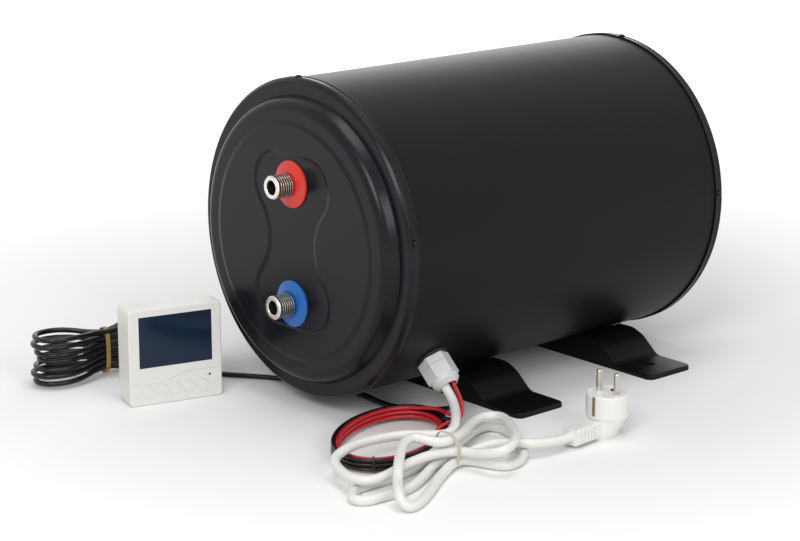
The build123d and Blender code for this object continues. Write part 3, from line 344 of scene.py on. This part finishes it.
# Coloured PVC: extruded and glossy, so each turn carries a thin bright line
red_pvc = polymer("red_pvc_insulation", "c4202a", 0.3, 0.4, 0.02, tone=0.15)
black_pvc = polymer("black_pvc_insulation", "121214", 0.26, 0.4, 0.02, tone=0.2, ior=1.4)
red_points = wire_points(red_route, red_entry, wire_pitch, red_start, red_turns, red_free)
black_points = wire_points(black_route, black_entry, 0, black_start, black_turns, black_free)
red_wire = cord("red_wire", red_points, wire_diameter, red_pvc)
black_wire = cord("black_wire", black_points, wire_diameter, black_pvc)
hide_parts("red_lead", "red_coil")
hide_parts("black_lead", "black_coil")


# Bare copper ends
# Each wire's seven strands, stripped of their PVC and twisted together for a terminal. The copper was
# bright and has dulled, so the eye sees soft orange-brown glints.
strand_count = 7
strand_radius = 0.42
strand_steps = 14
strand_spread = 0.25
twist_radius = 0.78
twist_turns = 1.3
copper_length = 7.0
copper_tuck = 0.3
copper = metal("twisted_copper", "b9734f", 0.34, turned_mm=0.4)


def copper_end(name, points):
    """Strands that wind round the line on which the wire ends."""
    start, way = Vector(points[-1]), (Vector(points[-1]) - Vector(points[-2])).normalized()
    side = way.cross(Vector((0, 0, 1))).normalized()
    rise = way.cross(side)
    curve = bpy.data.curves.new(name, "CURVE")
    curve.dimensions = "3D"
    for strand in range(strand_count):
        spline = curve.splines.new("NURBS")
        spline.points.add(strand_steps)
        for step in range(strand_steps + 1):
            share = step / strand_steps
            angle = 2 * math.pi * (strand / (strand_count - 1) + twist_turns * share)
            spread = twist_radius * (strand > 0) * (1 + strand_spread * share * (strand % 2))
            place = start + way * (copper_length * share - copper_tuck)
            place += (side * math.cos(angle) + rise * math.sin(angle)) * spread
            spline.points[step].co = (*(place * MM), 1.0)
        spline.order_u = 3
        spline.use_endpoint_u = True
        spline.resolution_u = 2
    curve.bevel_depth = strand_radius * MM
    curve.bevel_resolution = 1
    curve.use_fill_caps = True
    curve.materials.append(copper)
    made = bpy.data.objects.new(name, curve)
    bpy.context.scene.collection.objects.link(made)
    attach(made, "heater")
    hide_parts("wire_ends")
    return made


red_copper = copper_end("red_copper_end", red_free)
black_copper = copper_end("black_copper_end", black_free)


# Control cable
# A black round cable, 4.9 mm across, with thin wires in a PVC sheath. It runs from the gland along the
# floor to a long hank beside the control panel, and from its top into the panel's back.
control_diameter = 4.9
hank_centre = Vector((-194.8, -322, 0))
hank_yaw = math.radians(80)
hank_half_length, hank_half_width = 70, 19
hank_middle, hank_end_rise, hank_waist_rise = 25.7, 6.8, 5.5
hank_eighths = 54
# One loop's control points as shares of its half length and half width, and the share of an eighth
hank_loop = [(1.03, 0.0, 0), (0.97, 0.72, 0.35), (0.8, 1.06, 0.7), (0.6, 1.08, 1.05), (0.4, 0.86, 1.4),
             (0.2, 0.4, 1.75), (0.0, 0.28, 2.0), (-0.2, 0.4, 2.25), (-0.4, 0.86, 2.6), (-0.6, 1.08, 2.95),
             (-0.8, 1.06, 3.3), (-0.97, 0.72, 3.65)]
# How far each bend at the hank's ends falls short of its full reach and is lifted, in millimetres,
# and how much wider than the others it is
hank_slack = [(0, 0, 1), (3, -0.6, 0.9), (5, 0.5, 1.2), (1, 0, 0.93), (6, 1.2, 0.8), (4, -0.8, 0.95),
              (2, 0.6, 1), (7, -0.5, 0.8), (3, 1.0, 1.25), (5, -1.0, 0.9), (6, 0.7, 1.1), (2, 0, 0.94),
              (8, 1.5, 0.85), (4, 0, 0.95)]
hank_shift = 6.0
hank_waist_share = 0.5
control_route = [(-150, -247, 2.6), (-121, -236, 2.6), (-98, -218, 2.6), (-72, -200, 2.6), (-40, -186, 2.6),
                 (-8, -177, 2.6), (20, -176, 2.6), (46, -180, 2.6), (66, -175, 2.6), (80, -164, 2.8),
                 (93, -156, 4), (106, -155, 8), (118, -159, 15), (126.5, -166, 23),
                 (128.97, -171.9, 30.4), (122.34, -171.9, 36.47)]
control_end = [(-178, -290, 52), (-160, -284, 59), (-143, -291, 63), (-124.11, -300.69, 64),
               (-115.4, -302.96, 64)]


def hank_points():
    """The hank's control points, loop by loop, from its start at the panel's side."""
    points = []
    turn = Matrix.Rotation(hank_yaw, 3, "Z")
    for half in range(math.ceil(hank_eighths / 4)):
        side = -1 if half % 2 else 1
        for x, y, eighth in hank_loop:
            eighths = half * 4 + eighth
            if eighths > hank_eighths:
                break
            short, lift, widen = hank_slack[(half + (x < 0)) % len(hank_slack)]
            waist = 1 - min(1, abs(x) / hank_waist_share)
            rise = hank_end_rise + (hank_waist_rise - hank_end_rise) * waist
            along = side * x * (hank_half_length - short * (1 - waist)) + hank_shift
            across = side * y * hank_half_width * (1 + (widen - 1) * (1 - waist))
            place = turn @ Vector((along, across, 0)) + hank_centre
            place.z = hank_middle + rise * (eighths - hank_eighths / 2) / 8 + lift * (1 - waist)
            points.append(tuple(place))
    return points


# Black PVC: glossy, so each strand of the hank carries a grey line of light
cable_pvc = polymer("black_pvc_cable", "101013", 0.26, 0.4, 0.03, tone=0.2, ior=1.4)
control_points = list(reversed(control_route)) + hank_points() + control_end
control = cord("control_cord", control_points, control_diameter, cable_pvc)
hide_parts("control_lead", "control_hank", "control_tail")


# Ties
# A coated wire, twisted twice round, holds the mains lead's hank. A black nylon cable tie holds the
# wire coils, and an ochre rubber band, wound round three times, the control cable's hank.
ring_corner = 0.55
# One turn's control points as shares of its half width and half height
ring = [(1, -ring_corner), (1, ring_corner), (ring_corner, 1), (-ring_corner, 1), (-1, ring_corner),
        (-1, -ring_corner), (-ring_corner, -1), (ring_corner, -1)]


def wound_band(name, centre, across, half_width, half_height, turns, pitch, radius, material, node):
    """A band or wire wound round a bundle, drawn as one open spline of rounded rectangles, in mm."""
    centre, across = Vector(centre), Vector(across).normalized()
    up = Vector((0, 0, 1))
    along = up.cross(across)
    curve = bpy.data.curves.new(name, "CURVE")
    curve.dimensions = "3D"
    spline = curve.splines.new("NURBS")
    count = round(turns * len(ring)) + 1
    spline.points.add(count - 1)
    for step, point in enumerate(spline.points):
        x, z = ring[step % len(ring)]
        shift = pitch * (step / len(ring) - turns / 2)
        place = centre + across * (x * half_width) + up * (z * half_height) + along * shift
        point.co = (*(place * MM), 1.0)
    spline.order_u = 3
    spline.use_endpoint_u = True
    spline.resolution_u = 6
    curve.bevel_depth = radius * MM
    curve.bevel_resolution = 2
    curve.use_fill_caps = True
    curve.materials.append(material)
    made = bpy.data.objects.new(name, curve)
    bpy.context.scene.collection.objects.link(made)
    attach(made, "heater")
    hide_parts(node)
    return made


# PVC-coated wire: a thin cream line with a soft shine
tie_coating = polymer("coated_tie_wire", "c9c4b4", 0.4, 0.3, 0.02)
wound_band("mains_wire_tie", (199.5, -243, 15.3), (1, 0, 0), half_width=14.4, half_height=14.7, turns=2.1,
           pitch=1.2, radius=0.5, material=tie_coating, node="mains_tie")

# Nylon: black, slightly duller than the wires that it holds
tie_nylon = polymer("black_nylon_tie", "151515", 0.4, 0.3, 0.02)
# The tie sits a quarter turn along the coil, round its turns at half their height
tie_turn, tie_height_turns = 0.25, 1.25
tie_place, tie_way = coil_place(tie_turn, wire_pitch / 2, black_start)
tie_centre = (tie_place.x, tie_place.y, coil_floor + coil_rise * tie_height_turns)
wound_band("coil_cable_tie", tie_centre, Vector((0, 0, 1)).cross(tie_way), half_width=4.4, half_height=6.2,
           turns=1.1, pitch=0.8, radius=0.8, material=tie_nylon, node="coil_tie")

# Rubber: ochre, matt, a little uneven in colour
band_rubber = polymer("ochre_rubber", "b08d45", 0.5, 0.5, 0.04, tone=0.2)
hank_way = Vector((math.cos(hank_yaw), math.sin(hank_yaw), 0))
band_centre = hank_centre + hank_way * hank_shift
wound_band("hank_rubber_band", (band_centre.x, band_centre.y, hank_middle),
           Vector((0, 0, 1)).cross(hank_way), half_width=9.3, half_height=21.5, turns=3.1, pitch=1.4,
           radius=0.7, material=band_rubber, node="hank_band")


# Shell and covers
# The shell is a rolled and welded steel sheet, and the covers are pressed steel. Both are painted black,
# and eight small black screws hold the covers' skirts to the shell.
# Powder coat: a satin black that spreads the light in long soft bands along the shell
dress(polymer("black_powder_coat", "111113", 0.4, 1.1, 0.03, tone=0.12, ior=1.22), "outer_shell")
# Stoved enamel: smoother and faintly blue, so that the pressed edges carry a narrow highlight
dress(polymer("black_satin_enamel", "0d0d14", 0.25, 4.0, 0.008, tone=0.1, ior=1.31),
      "front_cover", "rear_cover")
# Black oxide: dark metal with a dull glint on the screws' heads
dress(metal("black_oxide_steel", "2a2a2b", 0.35), "cover_screws", "foot_screws")


# Water stubs
# Stainless pipe ends with an external pipe thread, turned from tube and welded to the tank's pipes.
# They stick out of the front cover through the coloured collars.
pipe_radius = 10.4775
pipe_bore_radius = 6.35
pipe_neck_radius = 9.0
pipe_start, pipe_end = 138.5, 268.3
pipe_root_length = 7.5
bore_chamfer = 0.6
thread_length = 18.0
# The real pitch is 1.814 mm: the turns are drawn as rings and coarser, so that they show
thread_pitch = 2.4
thread_depth = 1.3
# One turn's root, flank and crest: how deep each corner lies and how far along the turn, as shares
thread_turn_shares = [(1, 0.1), (1, 0.4), (0, 0.6), (0, 0.9)]
root_depth_share = 0.4
tip_chamfer = 1.0
stub_heights = {"hot_outlet_stub": 206.0, "cold_inlet_stub": 98.5}
spin_steps = 64
weld_distance = 1e-6
flat_end_slope = 0.3
# Turned stainless steel: bright crests with hard light and dark streaks
stub_steel = metal("turned_stainless_steel", "dcd8d1", 0.24, turned_mm=0.5)
# Painted shade: the thread's roots are coloured darker than the crests, for the shade that falls in them
painted_shade_root = metal("thread_root_painted_shade", "6a6259", 0.45, turned_mm=0.5)
# The bore is untouched tube and dull; its dark brown colour is painted shade for the inside of the pipe
painted_shade_bore = metal("pipe_bore_painted_shade", "2a2420", 0.6, turned_mm=0.8)


def water_stub(node, height):
    """The stub's half section, with the thread's crests and roots, spun about its axis."""
    thread_start = pipe_end - thread_length
    root_end = pipe_start + pipe_root_length
    section = [(pipe_bore_radius, pipe_start), (pipe_radius, pipe_start), (pipe_radius, root_end),
               (pipe_neck_radius, root_end), (pipe_neck_radius, thread_start)]
    turns = int((thread_length - tip_chamfer) / thread_pitch)
    for turn in range(turns):
        section += [(pipe_radius - thread_depth * depth, thread_start + (turn + along) * thread_pitch)
                    for depth, along in thread_turn_shares]
    section += [(pipe_radius, pipe_end - tip_chamfer), (pipe_radius - tip_chamfer, pipe_end),
                (pipe_bore_radius + bore_chamfer, pipe_end), (pipe_bore_radius, pipe_end - bore_chamfer)]
    mesh = bpy.data.meshes.new(node)
    bm = bmesh.new()
    corners = [bm.verts.new((radius * MM, -reach * MM, height * MM)) for radius, reach in section]
    edges = [bm.edges.new((a, b)) for a, b in zip(corners, corners[1:] + corners[:1])]
    bmesh.ops.spin(bm, geom=corners + edges, cent=(0, 0, height * MM), axis=(0, 1, 0), dvec=(0, 0, 0),
                   angle=2 * math.pi, steps=spin_steps, use_merge=True)
    bmesh.ops.remove_doubles(bm, verts=bm.verts, dist=weld_distance)
    bmesh.ops.recalc_face_normals(bm, faces=bm.faces)
    for face in bm.faces:
        centre = face.calc_center_median()
        radius, reach = math.hypot(centre.x, centre.z - height * MM) / MM, -centre.y / MM
        on_thread = thread_start < reach < pipe_end - tip_chamfer
        face.smooth = abs(face.normal.y) < flat_end_slope
        # Painted shade: faces inside the bore take the dark bore colour
        if radius < pipe_bore_radius + bore_chamfer / 3:
            face.material_index = 2
        # Painted shade: faces in the thread's roots take the darker root colour
        elif on_thread and radius < pipe_radius - root_depth_share * thread_depth:
            face.material_index = 1
    bm.to_mesh(mesh)
    bm.free()
    for steel in (stub_steel, painted_shade_root, painted_shade_bore):
        mesh.materials.append(steel)
    made = bpy.data.objects.new(node.replace("stub", "thread"), mesh)
    bpy.context.scene.collection.objects.link(made)
    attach(made, "heater")
    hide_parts(node)
    return made


for stub_node, stub_height in stub_heights.items():
    water_stub(stub_node, stub_height)


# Collars
# Cone-shaped rings that seal the cover round the stubs: injection-moulded polypropylene, red for hot
# water and blue for cold. The eye sees an even strong colour with a soft shine.
dress(polymer("red_polypropylene", "d8332c", 0.32, 0.8, 0.02, tone=0.05), "hot_collar")
dress(polymer("blue_polypropylene", "085fb0", 0.3, 0.8, 0.02, tone=0.05), "cold_collar")


# Tank and insulation
# Inside the shell: a welded stainless tank with its two pipes and two screwed-in elements, held between
# discs and a sleeve of moulded foam.
# Brushed steel is evenly grey, foam is chalky with coarse cells, and brass and rubber need no more
# than their own colour and shine, because they are hidden
tank_steel = metal("brushed_tank_steel", "b9b7b2", 0.35)
foam = polymer("moulded_foam", "dcd8cd", 0.85, 2.5, 0.4, tone=0.15)
dress(tank_steel, "tank_body", "tank_head_front", "tank_head_rear", "hot_pickup_pipe", "cold_inlet_pipe",
      "temperature_sensor")
dress(foam, "insulation_sleeve", "insulation_front", "insulation_rear")
dress(metal("machined_brass", "c2a05a", 0.3), "element_230v", "element_12v")
gasket_rubber = polymer("nitrile_rubber", "1b1b1b", 0.7, 0.6, 0.05)
dress(gasket_rubber, "element_gaskets", "gland_gasket", "gland_seal")


# Electronics
# Behind the front cover: a moulded tray with the control board and its relays, and a thermostat in a
# dark plastic case. The lacquered boards are green, and the tray is the white of its raw plastic.
board_lacquer = polymer("green_lacquered_board", "1d5a33", 0.35, 0.5, 0.02)
part_plastic = polymer("black_part_plastic", "1c1c1e", 0.45, 0.5, 0.02)
dress(board_lacquer, "control_board", "panel_board")
dress(part_plastic, "board_components", "panel_switches", "safety_thermostat")
dress(polymer("white_tray_abs", "d9d9d4", 0.5, 0.8, 0.03), "board_tray")


# Cable gland
# A pale grey nylon gland with hexagons for a wrench, screwed through the shell and clamping the cords.
# Moulded nylon: milky, with soft edges to its highlights
gland_nylon = polymer("grey_nylon", "d4d5d6", 0.42, 0.7, 0.03, tone=0.04)
dress(gland_nylon, "gland_body", "gland_nut", "gland_locknut")


# Feet
# Two black moulded feet with ribs under them, screwed to the shell, each with two holes for the floor.
# Their mould was spark eroded, so the eye sees a deep matt black with a fine grain.
foot_abs = polymer("black_textured_abs", "0b0b0c", 0.46, 0.6, 0.05, tone=0.15, ior=1.26)
dress(foot_abs, "foot_front", "foot_rear")


# Control panel
# A housing of a front and a back half, snapped together, with a tinted window over a display and five
# round buttons that are pressed into the front.
# Moulded ABS: warm white with a fine satin skin
white_abs = polymer("white_abs", "e4e3df", 0.36, 0.9, 0.02, tone=0.02)
button_names = [f"button_{number}" for number in range(1, 6)]
dress(white_abs, "panel_housing", "panel_back", *button_names)
# Tinted acrylic: deep blue and glossy, with the room's pale reflection on it
window = polymer("tinted_acrylic_window", "14263b", 0.1, 2.0, 0.002, tone=0.1, ior=1.36)
dress(window, "panel_window", "panel_display")
